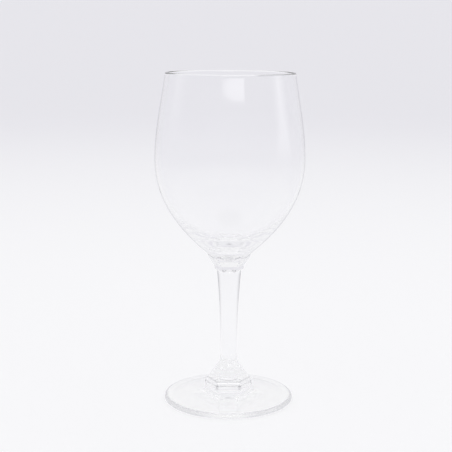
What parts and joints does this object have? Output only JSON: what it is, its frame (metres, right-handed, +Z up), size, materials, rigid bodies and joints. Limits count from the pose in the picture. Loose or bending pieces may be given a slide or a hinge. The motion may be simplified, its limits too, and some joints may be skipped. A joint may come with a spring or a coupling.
{
  "type": "wine glass",
  "caption": "Clear stemmed wine glass with a tulip bowl, a slim shank between a six-sided collar and plinth, and a round foot.",
  "frame": {"origin": "middle of the circle that the foot rests on, on the table's surface", "axes": "+Z up along the glass's axis, out of the mouth of the bowl; two flats of the six-sided plinth and collar face -Y and +Y"},
  "size_m": [0.0764, 0.0764, 0.17],
  "materials": {
    "clear_glass": "fire-polished clear glass"
  },
  "bodies": {
    "root": {"bowl": "clear_glass", "stem": "clear_glass", "foot": "clear_glass"}
  },
  "joints": []
}
